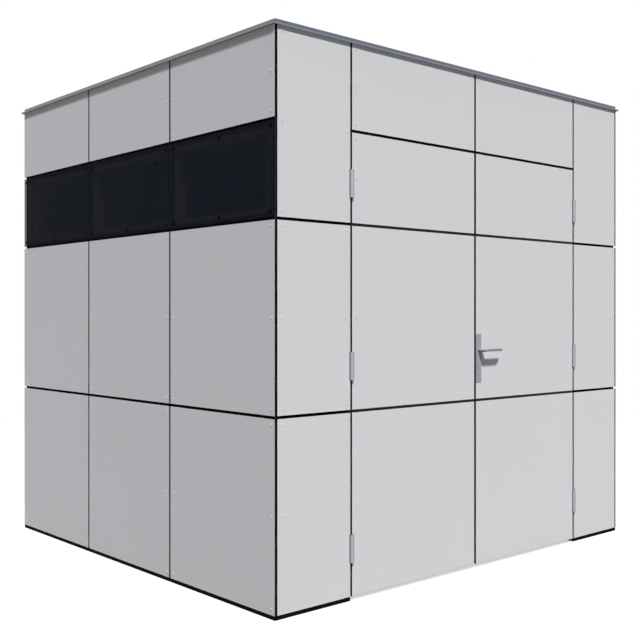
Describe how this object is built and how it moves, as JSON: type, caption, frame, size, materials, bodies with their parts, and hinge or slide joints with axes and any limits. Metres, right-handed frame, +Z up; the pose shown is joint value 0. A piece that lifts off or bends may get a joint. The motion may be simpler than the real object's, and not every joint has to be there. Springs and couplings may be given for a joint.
{
  "type": "garden shed",
  "caption": "Flat-roofed square garden shed clad in light grey panels with open black joints, a row of dark window panes on one side and a pair of outward-opening doors with a lever handle.",
  "frame": {"origin": "the middle of the square plan at ground level", "axes": "+Z up; the doors face -Y; the window panes are on the -X wall"},
  "size_m": [2.426, 2.501, 2.41],
  "materials": {
    "base": "matt black",
    "timber": "planed brown timber",
    "board": "raw board",
    "membrane": "matt black sheet",
    "coping": "satin grey coating",
    "tape": "matt black",
    "laminate": "light grey, satin, with a black core at the cut edges",
    "pane": "dark tinted, glossy",
    "leaf_frame": "satin black coating",
    "hinge": "satin",
    "handle": "satin",
    "lock": "brushed"
  },
  "bodies": {
    "shed": {"base_bars": "base", "corner_posts": "timber", "wall_studs": "timber", "left_rails": "timber", "right_rails": "timber", "back_rails": "timber", "front_rails": "timber", "door_jambs": "timber", "door_head": "timber", "roof_beams": "timber", "roof_joists": "timber", "roof_deck": "board", "roof_membrane": "membrane", "coping_front": "coping", "coping_right": "coping", "coping_back": "coping", "coping_left": "coping", "roof_outlet": "coping", "joint_tape": "tape", "door_stops": "tape", "left_low_panels": "laminate", "left_middle_panels": "laminate", "left_top_panels": "laminate", "right_panels": "laminate", "back_panels": "laminate", "front_left_panels": "laminate", "front_right_panels": "laminate", "over_door_panels": "laminate", "left_window_panes": "pane", "left_hinge_pins": "hinge", "right_hinge_pins": "hinge"},
    "left_leaf": {"left_door_stiles": "leaf_frame", "left_door_rails": "leaf_frame", "left_door_panels": "laminate", "left_hinge_knuckles": "hinge", "strike_plate": "lock"},
    "right_leaf": {"right_door_stiles": "leaf_frame", "right_door_rails": "leaf_frame", "right_door_panels": "laminate", "right_hinge_knuckles": "hinge", "lock_face_plate": "lock", "lock_cylinder": "lock", "handle_plates": "handle"},
    "lever": {"lever_outside": "handle", "lever_inside": "handle"}
  },
  "joints": [
    {"name": "left_leaf_swing", "type": "hinge", "parent": "shed", "child": "left_leaf", "pos_m": [-0.7955, -1.205, 0], "axis": [0, 0, -1], "range_deg": [0, 170]},
    {"name": "right_leaf_swing", "type": "hinge", "parent": "shed", "child": "right_leaf", "pos_m": [0.7955, -1.205, 0], "axis": [0, 0, 1], "range_deg": [0, 170]},
    {"name": "lever_turn", "type": "hinge", "parent": "right_leaf", "child": "lever", "pos_m": [0.025, -1.2, 1.054], "axis": [0, 1, 0], "range_deg": [0, 45], "stiffness_Nm_per_rad": 1, "springref_deg": -22.92}
  ]
}
